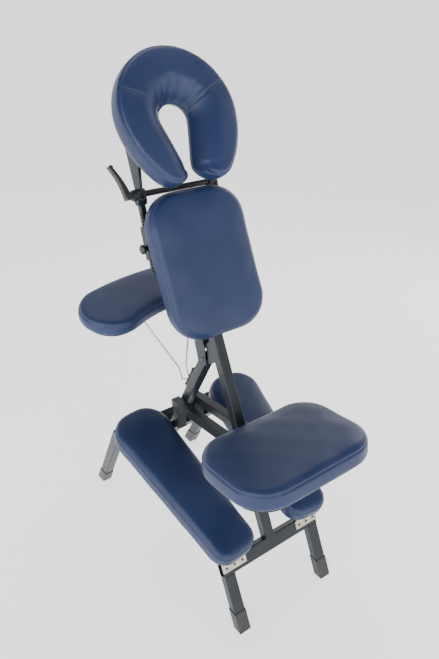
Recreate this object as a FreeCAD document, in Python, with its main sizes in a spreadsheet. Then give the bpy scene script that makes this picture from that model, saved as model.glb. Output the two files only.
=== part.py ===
import FreeCAD, Part
import math
import os
import re

import Sketcher
from FreeCAD import Placement, Rotation, Vector

# Kneeling massage chair.  Frame: X = sitter's right, Y = the way the sitter faces, Z = up,
# origin on the floor under the middle of the chair's bounding box.  Millimetres and degrees.

SIZES = {
    # steel tube
    "tube_side": 30, "tube_wall": 2, "tube_round": 2.5, "bar_deep": 25, "bar_tall": 40,
    "fork_side": 28, "centring": 1.2784,
    # rear frame: the main post leans forward from the rear crossbar
    "post_lean": 25.2, "post_foot_y": -247.4, "post_foot_z": 192.6, "post_start": -12, "post_reach": 888,
    "rear_half": 168, "rear_leg_wide": 34, "rear_leg_long": 230,
    # front frame, hung from the frame pivot and leaning forward to the floor
    "pivot_y": 36, "pivot_z": 626, "front_lean": 28.0, "front_post_above": 12, "front_post_below": 428,
    "front_half": 199, "front_bar_at": 408, "front_bar_out": 38, "front_leg_wide": 28,
    "front_leg_deep": 34, "front_leg_long": 370, "rest_half": 196, "rest_at": 329,
    # feet
    "sleeve_wall": 1.6, "sleeve_tall": 52, "sole": 4,
    # fold pivots
    "bolt_radius": 4, "bolt_gap": 0.06,
    # seat frame
    "seat_pivot_y": -127, "seat_pivot_z": 448, "fork_slope": 6.4, "fork_inner": 18.6, "fork_front": 288,
    "fork_back": 262, "drop_leg": 66, "seat_wide": 410, "seat_long": 283, "seat_corner": 96,
    "seat_foam": 57, "seat_y": -307,
    # chest pad
    "chest_wide": 287, "chest_long": 381, "chest_corner": 90, "chest_foam": 52, "chest_up": 773,
    # boards under the foam
    "board_thick": 12, "board_inset": 16, "foam_round": 20, "foam_belly": 9, "plate": 3,
    # knee pads
    "hinge_y": -267, "hinge_z": 192, "knee_slope": 21, "knee_splay": 5.8, "knee_near_x": 126,
    "knee_near_wide": 135, "knee_far_wide": 182, "knee_long": 524, "knee_overhang": 14,
    "knee_near_round": 46, "knee_far_round": 76, "knee_foam": 53, "leaf_wide": 78, "leaf_thick": 2,
    "leaf_tall": 25, "leaf_x": 131, "knuckle": 4.6, "hinge_pin": 2.5, "screw_pitch": 26,
    # front mast and arm rest
    "mast_wide": 35.4, "mast_deep": 45, "mast_cheek": 2.5, "mast_web": 3, "mast_back": 24.5,
    "mast_low": 613, "mast_bend": 668, "mast_top": 742, "arm_pivot_y": 132, "arm_pivot_z": 697,
    "arm_slope": 12.5, "arm_y": 223, "arm_z": 737, "arm_lobe": 89, "arm_half": 289, "arm_lobe_y": -14,
    "arm_far": 105, "arm_near": -57, "arm_foam": 47, "arm_board": 11,
    # wire brace and its rack
    "wire": 2.4, "wire_spread": 112, "rack_top": 96, "rack_long": 84, "rack_out": 14, "rack_pitch": 14,
    # face cradle
    "cradle_lean": 17, "axle_x": 110, "axle_y": 169.4, "axle_z": 1076, "axle": 5, "post_side": 16,
    "post_drop": 205, "notch_pitch": 8.5, "notch_radius": 2.4, "notch_edge": -4.8,
    "socket_side": 24, "socket_long": 86,
    "socket_drop": 165, "socket_bar_at": 820,
    "cradle_pitch": 59.6, "cradle_y": 199, "cradle_z": 1227, "cradle_wide": 328, "cradle_tall": 336,
    "cradle_foam": 76, "cradle_plate": 8, "cradle_foam_round": 14, "cradle_belly": 22,
    "mouth_half": 10.5, "hole_half": 47, "hole_up": 12,
    "cradle_tip_round": 30, "cradle_mouth_round": 12,
    # lock knob and clamp lever
    "knob_radius": 12.5, "knob_thick": 12, "knob_gap": 5.2, "collar_long": 3, "plunger_up": 31,
    "plunger": 2.6, "lever_long": 76, "lever_hub": 9,
    "lever_wide": 17, "lever_lean": 27,
}

document = FreeCAD.newDocument("KneelingMassageChair")
sheet = document.addObject("Spreadsheet::Sheet", "Sizes")
for row, (alias, number) in enumerate(SIZES.items(), start=1):
    sheet.set("A%d" % row, alias)
    sheet.set("B%d" % row, str(number))
    sheet.setAlias("B%d" % row, alias)
document.recompute()

PARTS = []
ALIAS = re.compile(r"\b(" + "|".join(sorted(SIZES, key=len, reverse=True)) + r")\b")
X_AXIS = Vector(1, 0, 0)
Z_AXIS = Vector(0, 0, 1)
SIDES = (("left", -1), ("right", 1))


def mm(alias):
    """A driving size, read from the sheet."""
    return float(sheet.get(alias))


def bind(thing, path, formula):
    """Ties a property or a sketch constraint to a formula in the sheet's aliases."""
    thing.setExpression(path, ALIAS.sub(r"Sizes.\1", str(formula)))


def finished(thing, label, place=None):
    """Names a sub-part, places it in the chair's frame and puts it on the list of parts to write."""
    thing.Label = label
    if place is not None:
        thing.Placement = place
    thing.Placement = Placement(Vector(0, mm("centring"), 0), Rotation()).multiply(thing.Placement)
    PARTS.append(thing)
    return thing


# ---------------------------------------------------------------- frames of reference

def leaning(x, y, z, lean, turn=0):
    """Frame at a point whose Z leans forward by `lean`, turned about that Z by `turn`."""
    return Placement(Vector(x, y, z), Rotation(X_AXIS, -lean) * Rotation(Z_AXIS, turn))


def across(x, y, z, lean=0):
    """Frame whose Z runs along +X and whose Y follows a leaning member's front."""
    sideways = Rotation(Vector(0, 1, 0), 90)
    return Placement(Vector(x, y, z), Rotation(X_AXIS, -lean) * sideways)


def along(origin, lean, up, out=0):
    """Point `up` along a leaning line and `out` in front of it."""
    angle = math.radians(lean)
    y = origin[0] + up * math.sin(angle) + out * math.cos(angle)
    z = origin[1] + up * math.cos(angle) - out * math.sin(angle)
    return y, z


def on_post(up, out=0):
    """Point on the main post, measured up its centre line from its foot."""
    return along((mm("post_foot_y"), mm("post_foot_z")), mm("post_lean"), up, out)


def on_front(down, out=0):
    """Point on the front post, measured down its centre line from the frame pivot."""
    return along((mm("pivot_y"), mm("pivot_z")), -mm("front_lean"), -down, out)


def on_fork(ahead, up=0):
    """Point on the seat fork, measured forward of the seat pivot along the tube."""
    angle = math.radians(mm("fork_slope"))
    y = mm("seat_pivot_y") + ahead * math.cos(angle) + up * math.sin(angle)
    z = mm("seat_pivot_z") - ahead * math.sin(angle) + up * math.cos(angle)
    return y, z


# ---------------------------------------------------------------- modelling helpers

def new_body(name):
    return document.addObject("PartDesign::Body", name)


def sketch_on(body, role, name):
    """Sketch on one of the body's own origin planes."""
    sketch = body.newObject("Sketcher::SketchObject", name)
    plane = [item for item in body.Origin.OriginFeatures if item.Role == role][0]
    sketch.AttachmentSupport = [(plane, "")]
    sketch.MapMode = "FlatFace"
    return sketch


def rectangle(sketch, width, height, tag="outer"):
    """Rectangle centred on the sketch's origin; both sizes follow the sheet."""
    first = sketch.GeometryCount
    corners = [Vector(-9, -7, 0), Vector(9, -7, 0), Vector(9, 7, 0), Vector(-9, 7, 0)]
    for start, end in zip(corners, corners[1:] + corners[:1]):
        sketch.addGeometry(Part.LineSegment(start, end))
    for side in range(4):
        sketch.addConstraint(Sketcher.Constraint("Coincident", first + side, 2, first + (side + 1) % 4, 1))
    for side in (0, 2):
        sketch.addConstraint(Sketcher.Constraint("Horizontal", first + side))
        sketch.addConstraint(Sketcher.Constraint("Vertical", first + side + 1))
    sketch.addConstraint(Sketcher.Constraint("Symmetric", first, 1, first + 1, 2, -1, 1))
    for side, kind, word, formula in ((0, "DistanceX", "width", width), (1, "DistanceY", "height", height)):
        index = sketch.addConstraint(Sketcher.Constraint(kind, first + side, 1, first + side, 2, 14))
        sketch.renameConstraint(index, tag + word)
        bind(sketch, "Constraints." + tag + word, formula)


def circle(sketch, x, y, radius, tag="round"):
    """Circle whose radius follows the sheet."""
    index = sketch.addGeometry(Part.Circle(Vector(x, y, 0), Z_AXIS, 3))
    mark = sketch.addConstraint(Sketcher.Constraint("Radius", index, 3))
    sketch.addConstraint(Sketcher.Constraint("DistanceX", -1, 1, index, 3, x))
    sketch.addConstraint(Sketcher.Constraint("DistanceY", -1, 1, index, 3, y))
    sketch.renameConstraint(mark, tag + "radius")
    bind(sketch, "Constraints." + tag + "radius", radius)


def polygon(sketch, points):
    """Closed outline through (x, y) points."""
    corners = [Vector(x, y, 0) for x, y in points]
    for start, end in zip(corners, corners[1:] + corners[:1]):
        sketch.addGeometry(Part.LineSegment(start, end))


def pad(body, sketch, length, centred=False, name="Pad"):
    feature = body.newObject("PartDesign::Pad", name)
    feature.Profile = sketch
    feature.Midplane = centred
    bind(feature, "Length", length)
    sketch.Visibility = False
    return feature


def cut_through(body, sketch, name="Cut"):
    """Pocket through the whole body, both ways from its sketch."""
    document.recompute()
    before = body.Shape.Volume
    feature = body.newObject("PartDesign::Pocket", name)
    feature.Profile = sketch
    feature.Type = 1
    feature.Midplane = True
    document.recompute()
    assert body.Shape.Volume < before, "pocket cuts nothing in " + body.Name
    return feature


def edges_where(shape, test):
    return ["Edge%d" % (number + 1) for number, edge in enumerate(shape.Edges) if test(edge)]


def round_edges(body, feature, radius, test, name="Round"):
    """Fillet of the feature's edges that pass the test."""
    document.recompute()
    fillet = body.newObject("PartDesign::Fillet", name)
    fillet.Base = (feature, edges_where(feature.Shape, test))
    bind(fillet, "Radius", radius)
    document.recompute()
    return fillet


def runs_along_z(edge):
    if len(edge.Vertexes) != 2:
        return False
    step = edge.Vertexes[1].Point - edge.Vertexes[0].Point
    return step.Length > 1 and abs(step.z) > 0.99 * step.Length


def upright_at(*offsets):
    """Edges along Z that stand at one of these distances from the middle plane."""
    return lambda edge: runs_along_z(edge) and min(
        abs(abs(edge.Vertexes[0].Point.x) - offset) for offset in offsets) < 1


def at_height(height):
    return lambda edge: max(abs(vertex.Z - height) for vertex in edge.Vertexes) < 0.01


def cross_hole(body, y, z, radius, name="CrossHole"):
    """Round hole along X through the body at a local (y, z)."""
    sketch = sketch_on(body, "YZ_Plane", name + "Sketch")
    circle(sketch, y, z, radius)
    return cut_through(body, sketch, name)


def tube(name, width, depth, length, hollow=True):
    """Square tube standing on its local origin, its long edges rounded."""
    body = new_body(name)
    section = sketch_on(body, "XY_Plane", name + "Section")
    rectangle(section, width, depth)
    bar = pad(body, section, length, name=name + "Bar")
    round_edges(body, bar, "tube_round", runs_along_z, name + "Round")
    if hollow:
        bore = sketch_on(body, "XY_Plane", name + "Bore")
        rectangle(bore, "%s - 2 * tube_wall" % width, "%s - 2 * tube_wall" % depth, "bore")
        cut_through(body, bore, name + "Hollow")
    return body


def plate_profile(name, points, width):
    """Plate with an outline in its local YZ plane, centred on X."""
    body = new_body(name)
    outline = sketch_on(body, "YZ_Plane", name + "Outline")
    polygon(outline, points)
    pad(body, outline, width, centred=True, name=name + "Plate")
    return body


def disc(name, radius, length, bore=None):
    """Round bar or ring along its local Z."""
    body = new_body(name)
    section = sketch_on(body, "XY_Plane", name + "Section")
    circle(section, 0, 0, radius)
    if bore is not None:
        circle(section, 0, 0, bore, "bore")
    pad(body, section, length, name=name + "Pad")
    return body


def above_floor(label, source, height):
    """The part of a member that stands above a given height over the floor."""
    room = document.addObject("Part::Box", label + "Room")
    room.Length = 1200
    room.Width = 1600
    room.Height = 1600
    room.Placement = Placement(Vector(-600, -800, height), Rotation())
    kept = document.addObject("Part::Common", label + "Kept")
    kept.Base = source
    kept.Tool = room
    return kept


def difference(label, base, tool):
    result = document.addObject("Part::Cut", label + "Cut")
    result.Base = base
    result.Tool = tool
    return result


def union(label, pieces):
    result = document.addObject("Part::MultiFuse", label + "Joined")
    result.Shapes = pieces
    return result


def group(label, pieces):
    """Several separate solids that share one node."""
    result = document.addObject("Part::Compound", label + "Group")
    result.Links = pieces
    return finished(result, label)


def placed(thing, place):
    thing.Placement = place
    return thing


# ---------------------------------------------------------------- rear frame

def rear_frame():
    lean = mm("post_lean")
    post = tube("MainPost", "tube_side", "tube_side", "post_reach")
    pivot_up = (mm("seat_pivot_z") - mm("post_foot_z")) / math.cos(math.radians(lean))
    cross_hole(post, 0, pivot_up - mm("post_start"), "bolt_radius + bolt_gap", "SeatPivotHole")
    y, z = on_post(mm("post_start"))
    finished(post, "main_post", leaning(0, y, z, lean))

    bar = tube("RearCrossbar", "bar_tall", "bar_deep", "2 * rear_half")
    y, z = on_post(mm("post_start") - mm("bar_tall") / 2)
    finished(bar, "rear_crossbar", across(-mm("rear_half"), y, z, lean))

    feet = []
    for side, sign in SIDES:
        x = sign * (mm("rear_half") - mm("rear_leg_wide") / 2)
        feet.append(leg_and_foot("rear", side, x, lean, on_post(mm("post_start") - mm("bar_tall")),
                                 "rear_leg_wide", "bar_deep", "rear_leg_long"))
    group("rear_feet", feet)


def leg_and_foot(end, side, x, lean, top, width, depth, length):
    """Leg cut level above the floor; returns the plastic sleeve that it stands in."""
    tag = end.title() + side.title()
    y, z = along(top, lean, -mm(length))
    place = leaning(x, y, z, lean)
    leg = placed(tube(tag + "LegTube", width, depth, length), place)
    finished(above_floor(tag + "Leg", leg, mm("sole")), "%s_leg_%s" % (end, side))

    grown = "%s + 2 * sleeve_wall"
    sleeve = placed(tube(tag + "SleeveBar", grown % width, grown % depth, length, hollow=False), place)
    leg_room = placed(tube(tag + "LegRoom", width, depth, length, hollow=False), place)
    shell = difference(tag + "Sleeve", above_floor(tag + "Foot", sleeve, 0),
                       above_floor(tag + "Socket", leg_room, mm("sole")))
    lid = document.addObject("Part::Box", tag + "SleeveHeight")
    lid.Length = 1200
    lid.Width = 1600
    bind(lid, "Height", "sleeve_tall")
    lid.Placement = Placement(Vector(-600, -800, 0), Rotation())
    foot = document.addObject("Part::Common", tag + "FootShape")
    foot.Base = shell
    foot.Tool = lid
    return foot


def mast_and_gusset():
    """Front mast: a channel whose lower end forks over the front post; a gusset ties it to the post."""
    lean = mm("post_lean")
    deep = mm("mast_deep")
    slope = math.tan(math.radians(lean))
    rear_y, low_z, knee_z, top_z = mm("mast_back"), mm("mast_low"), mm("mast_bend"), mm("mast_top")
    front_at = deep / math.cos(math.radians(lean))
    outline = [(17, low_z), (56, low_z), (rear_y + front_at, knee_z),
               (rear_y + front_at + (top_z - knee_z) * slope, top_z),
               (rear_y + (top_z - knee_z) * slope, top_z), (rear_y, knee_z)]
    mast = plate_profile("FrontMast", outline, "mast_wide")
    inner = sketch_on(mast, "YZ_Plane", "MastInner")
    web = mm("mast_web")
    polygon(inner, [(0, low_z - 9), (80, low_z - 9), (rear_y + front_at + 9, knee_z - 22),
                    (rear_y + front_at - web + 4 * slope, knee_z + 4),
                    (rear_y + front_at - web + (top_z - web - knee_z) * slope, top_z - web),
                    (rear_y + web + (top_z - web - knee_z) * slope, top_z - web),
                    (rear_y + web, knee_z), (9, knee_z - 9)])
    document.recompute()
    before = mast.Shape.Volume
    hollow = mast.newObject("PartDesign::Pocket", "MastHollow")
    hollow.Profile = inner
    hollow.Midplane = True
    bind(hollow, "Length", "mast_wide - 2 * mast_cheek")
    document.recompute()
    assert mast.Shape.Volume < before
    cross_hole(mast, mm("pivot_y"), mm("pivot_z"), "bolt_radius + bolt_gap", "FramePivotHole")
    finished(mast, "front_mast")

    face_y, face_z = on_post(0, mm("tube_side") / 2)
    on_face = [(face_y + (z - face_z) * slope, z) for z in (697, 641)]
    front = [(13.4, 619.5), (15.6, 621.5), (16.2, 640), (24, knee_z), (27, 674)]
    gusset = plate_profile("Gusset", on_face + front, "tube_side - 4")
    finished(gusset, "gusset")


def arm_clevis():
    """Two ears on the mast's front face that hold the arm rest's hinge pin."""
    pivot = (mm("arm_pivot_y"), mm("arm_pivot_z"))
    slope = math.tan(math.radians(mm("post_lean")))
    face = 24.5 + mm("mast_deep") / math.cos(math.radians(mm("post_lean")))
    ears = []
    for side, sign in SIDES:
        ear = new_body("Ear" + side.title())
        outline = sketch_on(ear, "YZ_Plane", "EarOutline" + side.title())
        low, high = 676, 722
        polygon(outline, [(face + (low - 668) * slope, low), (pivot[0] + 4, pivot[1] - 9),
                          (pivot[0] + 10, pivot[1]), (pivot[0] + 4, pivot[1] + 9),
                          (face + (high - 668) * slope, high)])
        pad(ear, outline, "plate", centred=True, name="EarPlate" + side.title())
        cross_hole(ear, pivot[0], pivot[1], "bolt_radius", "EarHole" + side.title())
        ears.append(placed(ear, Placement(Vector(sign * 16.1, 0, 0), Rotation())))
    group("arm_clevis", ears)


def pivot_bolt(label, y, z, half_grip):
    """Dome-headed bolt along X with its nut, as two solids."""
    profile = new_body(label.title().replace("_", "") + "Bolt")
    half = sketch_on(profile, "XZ_Plane", label + "Half")
    shank, head, rise = mm("bolt_radius"), mm("bolt_radius") * 1.9, 3.6
    reach = half_grip + 9
    polygon(half, [(0, -half_grip - rise), (head * 0.55, -half_grip - rise), (head, -half_grip - 0.8),
                   (head, -half_grip), (shank, -half_grip), (shank, reach), (0, reach)])
    turned = profile.newObject("PartDesign::Revolution", label + "Turned")
    turned.Profile = half
    turned.ReferenceAxis = (half, ["V_Axis"])
    turned.Angle = 360
    profile.Placement = across(0, y, z)
    nut = new_body(label.title().replace("_", "") + "Nut")
    hexagon = sketch_on(nut, "XY_Plane", label + "Hex")
    corner = mm("bolt_radius") * 1.95
    polygon(hexagon, [(corner * math.cos(math.radians(60 * k)), corner * math.sin(math.radians(60 * k)))
                      for k in range(6)])
    circle(hexagon, 0, 0, "bolt_radius")
    pad(nut, hexagon, 6, name=label + "NutPad")
    nut.Placement = across(half_grip + 0.02, y, z)
    group(label, [profile, nut])


# ---------------------------------------------------------------- front frame

def front_frame():
    lean = -mm("front_lean")
    post = tube("FrontPost", "tube_side", "tube_side", "front_post_above + front_post_below")
    cross_hole(post, 0, mm("front_post_below"), "bolt_radius + bolt_gap", "PivotHole")
    y, z = on_front(mm("front_post_below"))
    finished(post, "front_post", leaning(0, y, z, lean))

    bar_out = mm("front_bar_out") + 12
    bar = tube("FrontCrossbar", "bar_deep", "bar_deep - 1", "2 * front_half - 2 * front_leg_wide")
    y, z = on_front(mm("front_bar_at"), bar_out)
    finished(bar, "front_crossbar", across(mm("front_leg_wide") - mm("front_half"), y, z, lean))

    stub = tube("CrossbarStub", "tube_side - 4", "bar_deep", "front_bar_out - tube_side / 2")
    y, z = on_front(mm("front_bar_at"), mm("tube_side") / 2)
    finished(stub, "crossbar_stub", leaning(0, y, z, lean + 90))

    feet = []
    for side, sign in SIDES:
        x = sign * (mm("front_half") - mm("front_leg_wide") / 2)
        top = on_front(mm("front_bar_at") - mm("bar_deep") / 2, mm("front_bar_out") + 7)
        feet.append(leg_and_foot("front", side, x, lean, top, "front_leg_wide", "front_leg_deep",
                                 "front_leg_long"))
    group("front_feet", feet)

    rest = tube("KneeRest", "tube_side", "bar_deep", "2 * rest_half")
    y, z = on_front(mm("rest_at"), -(mm("tube_side") + mm("bar_deep")) / 2)
    finished(rest, "knee_rest_bar", across(-mm("rest_half"), y, z, lean))

    caps = []
    for side, sign in SIDES:
        cap = tube("RestCap" + side.title(), "tube_side + 2", "bar_deep + 2", 4, hollow=False)
        start = mm("rest_half") if sign > 0 else -mm("rest_half") - 4
        caps.append(placed(cap, across(start, y, z, lean)))
    group("knee_rest_caps", caps)

    bumpers = []
    slope = math.radians(mm("knee_slope"))
    corner_y, corner_z = on_front(mm("rest_at") - mm("tube_side") / 2, -mm("tube_side") / 2 - mm("bar_deep"))
    board_z = mm("hinge_z") + mm("leaf_thick") + (corner_y + 14 - mm("hinge_y")) * math.tan(slope)
    for side, sign in SIDES:
        block = new_body("Bumper" + side.title())
        outline = sketch_on(block, "YZ_Plane", "BumperOutline" + side.title())
        low_y, low_z = on_front(mm("rest_at") - mm("tube_side") / 2, -mm("tube_side") / 2 - 4)
        polygon(outline, [(corner_y + 2.5, corner_z + 1.4), (low_y, low_z),
                          (low_y, board_z + (low_y - corner_y - 14) * math.tan(slope) - 0.4),
                          (corner_y + 2.5, board_z - 11.5 * math.tan(slope) - 0.4)])
        pad(block, outline, 46, centred=True, name="BumperPad" + side.title())
        bumpers.append(placed(block, Placement(Vector(sign * 150, 0, 0), Rotation())))
    group("knee_rest_bumpers", bumpers)

    rack()


def rack():
    """Notched rack on the front post's face that takes the wire brace's hook."""
    body = new_body("ArmRack")
    outline = sketch_on(body, "YZ_Plane", "RackOutline")
    face = mm("tube_side") / 2
    out, pitch, step = face + mm("rack_out"), mm("rack_pitch"), 5.4
    points = [(face, mm("rack_long")), (face, 0), (out, 0)]
    for tooth in range(int(mm("rack_long") // pitch)):
        low = tooth * pitch + 3
        points += [(out, low + 4), (face + 4, low + 6), (face + 4, low + 6 + step), (out, low + pitch)]
    polygon(outline, points + [(out, mm("rack_long"))])
    pad(body, outline, 16, centred=True, name="RackPad")
    y, z = on_front(mm("rack_top") + mm("rack_long"))
    finished(body, "arm_rack", leaning(0, y, z, -mm("front_lean")))


# ---------------------------------------------------------------- cushions and boards

def rounded_slab(name, wide, long, corner, thick, top_round=None, bottom_round=None):
    """Slab with rounded plan corners standing on its local XY plane, centred."""
    body = new_body(name)
    section = sketch_on(body, "XY_Plane", name + "Plan")
    rectangle(section, wide, long)
    slab = pad(body, section, thick, name=name + "Pad")
    shaped = round_edges(body, slab, corner, runs_along_z, name + "Corners")
    if top_round is not None:
        height = slab.Shape.BoundBox.ZMax
        shaped = round_edges(body, shaped, top_round, at_height(height), name + "TopRound")
        round_edges(body, shaped, bottom_round, at_height(0), name + "BottomRound")
    return body


def cushion_pair(label, place, wide, long, corner, foam):
    """A plywood board and the foam cushion on it."""
    inset = " - 2 * board_inset"
    board = rounded_slab(label + "Board", wide + inset, long + inset, corner + " - board_inset", "board_thick")
    finished(board, label + "_board", place)
    lift = Placement(Vector(0, 0, mm("board_thick")), Rotation())
    foam_body = rounded_slab(label + "Pad", wide, long, corner, foam, "foam_round", "foam_belly")
    finished(foam_body, label + "_pad", place.multiply(lift))


def seat():
    slope = mm("fork_slope")
    length = "fork_front + fork_back"
    for side, sign in SIDES:
        rail = tube("Fork" + side.title(), "fork_side", "fork_side", length)
        cross_hole(rail, 0, mm("fork_back"), "bolt_radius + bolt_gap", "ForkHole" + side.title())
        y, z = on_fork(-mm("fork_back"))
        x = sign * (mm("fork_inner") + mm("fork_side") / 2)
        finished(rail, "seat_tube_" + side, leaning(x, y, z, 90 + slope))

    drops, caps, washers = [], [], []
    for side, sign in SIDES:
        x = sign * (mm("fork_inner") + mm("fork_side") / 2)
        y, z = on_fork(mm("fork_front") - mm("fork_side") / 2, -mm("fork_side") / 2 - mm("drop_leg"))
        drop = tube("Drop" + side.title(), "fork_side", "fork_side", "drop_leg")
        drops.append(placed(drop, leaning(x, y, z, slope)))
        for place_name, ahead, start in (("Front", mm("fork_front"), 0), ("Back", -mm("fork_back") - 3, 0)):
            cap = tube("Cap" + place_name + side.title(), "fork_side", "fork_side", 3, hollow=False)
            y, z = on_fork(ahead + start)
            caps.append(placed(cap, leaning(x, y, z, 90 + slope)))
        washer = disc("Washer" + side.title(), "bolt_radius * 2", "fork_inner - tube_side / 2 - 0.1",
                      "bolt_radius + bolt_gap")
        near = mm("tube_side") / 2 + 0.05
        start = near if sign > 0 else -mm("fork_inner") + 0.05
        washers.append(placed(washer, across(start, mm("seat_pivot_y"), mm("seat_pivot_z"))))
    group("seat_drop_legs", drops)
    group("seat_tube_caps", caps)
    group("seat_pivot_washers", washers)

    ties = []
    for number, back in enumerate((70, 235)):
        tie = rounded_slab("Tie%d" % number, 250, 34, 8, "plate")
        y, z = on_fork(-back, mm("fork_side") / 2)
        ties.append(placed(tie, leaning(0, y, z, slope)))
    group("seat_ties", ties)

    centre = (mm("seat_y") - mm("seat_pivot_y")) / math.cos(math.radians(slope))
    y, z = on_fork(centre, mm("fork_side") / 2 + mm("plate"))
    cushion_pair("seat", leaning(0, y, z, slope), "seat_wide", "seat_long", "seat_corner", "seat_foam")


def chest():
    lean = mm("post_lean")
    gap = -mm("tube_side") / 2
    brackets = []
    for number, up in enumerate((-120, 90)):
        strap = rounded_slab("ChestStrap%d" % number, 170, 36, 10, "plate")
        y, z = on_post(mm("chest_up") + up, gap)
        brackets.append(placed(strap, leaning(0, y, z, lean - 90, 180)))
    group("chest_straps", brackets)
    y, z = on_post(mm("chest_up"), gap - mm("plate"))
    cushion_pair("chest", leaning(0, y, z, lean - 90, 180), "chest_wide", "chest_long", "chest_corner",
                 "chest_foam")


def knee_plan(sketch, inset):
    """Pad plan that widens from the hinge end to the knee end."""
    near, far = mm("knee_near_wide") / 2 - inset, mm("knee_far_wide") / 2 - inset
    low, high = inset * 1.3 - mm("knee_overhang"), mm("knee_long") - mm("knee_overhang") - inset
    polygon(sketch, [(-near, low), (near, low), (far, high), (-far, high)])


def knee_pads():
    pins, screws = [], []
    for side, sign in SIDES:
        knee_side(side, sign)
        pin, screw_set = knee_hinge(side, sign)
        pins.append(pin)
        screws += screw_set
    group("knee_hinge_pins", pins)
    group("hinge_screws", screws)


def knee_side(side, sign):
    turn = Rotation(X_AXIS, mm("knee_slope")) * Rotation(Z_AXIS, -sign * mm("knee_splay"))
    hinge = Vector(sign * mm("knee_near_x"), mm("hinge_y"), mm("hinge_z"))
    base = Placement(hinge, turn)
    tag = side.title()
    for part, inset, low, thick in (("board", mm("board_inset"), mm("leaf_thick"), "board_thick"),
                                    ("pad", 0, mm("leaf_thick") + mm("board_thick"), "knee_foam")):
        body = new_body("Knee" + part.title() + tag)
        plan = sketch_on(body, "XY_Plane", "Knee" + part + "Plan" + tag)
        knee_plan(plan, inset)
        slab = pad(body, plan, thick, name="Knee" + part + tag)
        shaped = round_edges(body, slab, "knee_near_round - %g" % inset,
                             lambda edge: runs_along_z(edge) and edge.Vertexes[0].Y < 100, "Near" + part + tag)
        shaped = round_edges(body, shaped, "knee_far_round - %g" % inset,
                             lambda edge: runs_along_z(edge) and edge.Vertexes[0].Y > 100
                             and edge.Length > 5 and edge.Vertexes[0].Y > mm("knee_long") * 0.9,
                             "Far" + part + tag)
        if part == "pad":
            top = slab.Shape.BoundBox.ZMax
            shaped = round_edges(body, shaped, "foam_round", at_height(top), "Top" + tag)
            round_edges(body, shaped, "foam_belly", at_height(0), "Belly" + tag)
        lift = Placement(Vector(0, 0, low), Rotation())
        finished(body, "knee_%s_%s" % (part, side), base.multiply(lift))


def knee_hinge(side, sign):
    """Butt hinge between the crossbar's rear face and the board; returns its pin and screws."""
    tag = side.title()
    x = sign * mm("leaf_x")
    third = mm("leaf_wide") / 3
    lean = mm("post_lean")
    pin = placed(disc("HingePin" + tag, "hinge_pin", "leaf_wide"),
                 across(x - mm("leaf_wide") / 2, mm("hinge_y"), mm("hinge_z")))
    fixed = new_body("FixedLeaf" + tag)
    face = sketch_on(fixed, "XZ_Plane", "FixedLeafFace" + tag)
    half, tall = mm("leaf_wide") / 2, mm("leaf_tall")
    notch = third / 2 + 0.3
    polygon(face, [(-half, -tall), (half, -tall), (half, 5), (notch, 5), (notch, 0), (-notch, 0), (-notch, 5),
                   (-half, 5)])
    for number in (-1, 0, 1):
        circle(face, number * mm("screw_pitch"), -tall * 0.56, "2.3", "screw%d" % (number + 1))
    pad(fixed, face, "leaf_thick", centred=True, name="FixedLeafPad" + tag)
    rear_y, rear_z = on_post(mm("post_start"), -mm("bar_deep") / 2)
    drop_y, drop_z = along((rear_y, rear_z), lean, -2, -mm("leaf_thick") / 2)
    fixed.Placement = leaning(x, drop_y, drop_z, lean)
    knuckles = [fixed]
    for start in (x - half, x + half - third + 0.3):
        ring = disc("FixedKnuckle" + tag, "knuckle", "leaf_wide / 3 - 0.3", "hinge_pin")
        knuckles.append(placed(ring, across(start, mm("hinge_y"), mm("hinge_z"))))
    finished(union("FixedLeafAll" + tag, knuckles), "knee_hinge_plate_" + side)

    screws = []
    for number in (-1, 0, 1):
        screw = disc("Screw" + tag, "3.6", 1.4)
        y, z = along((drop_y, drop_z), lean, -tall * 0.56, -mm("leaf_thick") / 2)
        screws.append(placed(screw, Placement(Vector(x + number * mm("screw_pitch"), y, z),
                                              Rotation(X_AXIS, 90 - lean))))
    moving = new_body("MovingLeaf" + tag)
    flat = sketch_on(moving, "XY_Plane", "MovingLeafFlat" + tag)
    polygon(flat, [(-half, 5.2), (half, 5.2), (half, tall), (-half, tall)])
    pad(moving, flat, "leaf_thick", name="MovingLeafPad" + tag)
    tongue = sketch_on(moving, "XY_Plane", "MovingLeafTongue" + tag)
    polygon(tongue, [(-third / 2 + 0.3, 3), (third / 2 - 0.3, 3), (third / 2 - 0.3, 9), (-third / 2 + 0.3, 9)])
    pad(moving, tongue, "leaf_thick", name="MovingLeafTonguePad" + tag)
    moving.Placement = Placement(Vector(x, mm("hinge_y"), mm("hinge_z")), Rotation(X_AXIS, mm("knee_slope")))
    ring = placed(disc("MovingKnuckle" + tag, "knuckle", "leaf_wide / 3 - 0.6", "hinge_pin + bolt_gap"),
                  across(x - third / 2 + 0.3, mm("hinge_y"), mm("hinge_z")))
    finished(union("MovingLeafAll" + tag, [moving, ring]), "knee_hinge_leaf_" + side)
    return pin, screws


# ---------------------------------------------------------------- arm rest and its brace

def arm_outline(sketch, inset):
    """Kidney plan: two round lobes, a bowed far edge and a hollow near edge."""
    radius = mm("arm_lobe") - inset
    centre = mm("arm_half") - mm("arm_lobe")
    lobe_y = mm("arm_lobe_y")

    def on_lobe(angle, sign=1):
        angle = math.radians(angle)
        return Vector(sign * (centre + radius * math.cos(angle)), lobe_y + radius * math.sin(angle), 0)

    far, near = 73, -118
    sketch.addGeometry(Part.Arc(on_lobe(far), on_lobe(-20), on_lobe(near)))
    sketch.addGeometry(Part.Arc(on_lobe(near), Vector(0, mm("arm_near") + inset, 0), on_lobe(near, -1)))
    sketch.addGeometry(Part.Arc(on_lobe(near, -1), on_lobe(-20, -1), on_lobe(far, -1)))
    sketch.addGeometry(Part.Arc(on_lobe(far, -1), Vector(0, mm("arm_far") - inset, 0), on_lobe(far)))


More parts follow.
